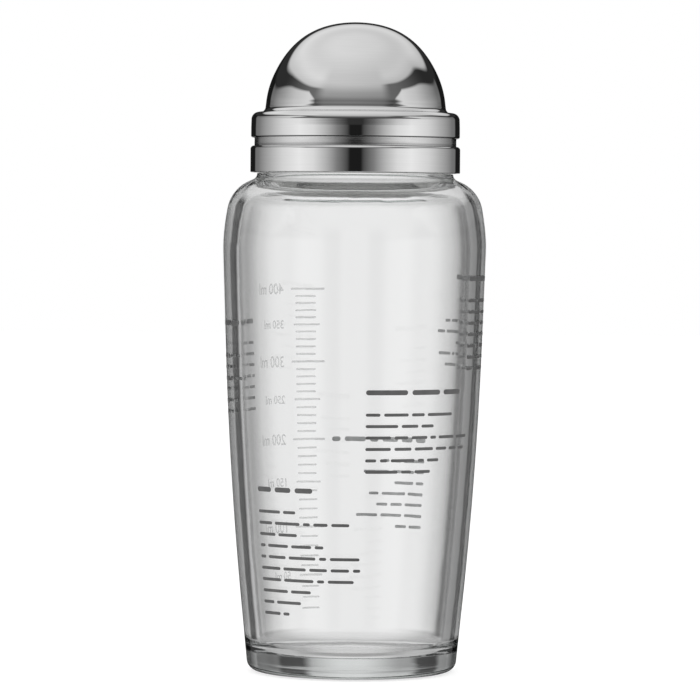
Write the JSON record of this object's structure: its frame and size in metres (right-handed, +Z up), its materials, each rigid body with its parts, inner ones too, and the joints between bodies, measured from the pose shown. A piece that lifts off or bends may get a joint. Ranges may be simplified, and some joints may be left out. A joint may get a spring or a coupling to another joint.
{
  "type": "salad dressing shaker bottle",
  "caption": "Clear glass dressing shaker with a tapering body, printed measuring scale, screwed steel collar with a pouring spout, and a domed steel cap that pulls off.",
  "frame": {"origin": "centre of the base, on the table that the bottle stands on", "axes": "+Z up along the bottle's axis; the bottle is round, and +Y points away from the side that the picture shows"},
  "size_m": [0.083, 0.083, 0.205],
  "materials": {
    "clear_glass": "clear, fire-polished, slightly wavy",
    "polished_steel": "stainless steel sheet, polished nearly to a mirror",
    "white_moulding": "natural white polypropylene, fine matt moulding",
    "seal_silicone": "translucent white silicone"
  },
  "bodies": {
    "bottle": {"glass_bottle": "clear_glass"},
    "pour_top": {"pour_insert": "white_moulding", "rim_gasket": "seal_silicone", "grip_ring": "seal_silicone"},
    "collar": {"collar_shell": "polished_steel", "thread_ring": "white_moulding"},
    "cap": {"cap_shell": "polished_steel", "cap_liner": "white_moulding", "spout_plug": "seal_silicone"}
  },
  "joints": [
    {"name": "collar_rise", "type": "slide", "parent": "bottle", "child": "pour_top", "axis": [0, 0, 1], "range_m": [0, 0.0105]},
    {"name": "collar_unscrew", "type": "hinge", "parent": "pour_top", "child": "collar", "pos_m": [0, 0, 0.162], "axis": [0, 0, 1], "range_deg": [0, 1080]},
    {"name": "cap_pull", "type": "slide", "parent": "pour_top", "child": "cap", "axis": [0, 0, 1], "range_m": [0, 0.045]}
  ],
  "couplings": [
    {"joint": "collar_rise", "follows": "collar_unscrew", "m_per_rad": 0.00055704}
  ]
}
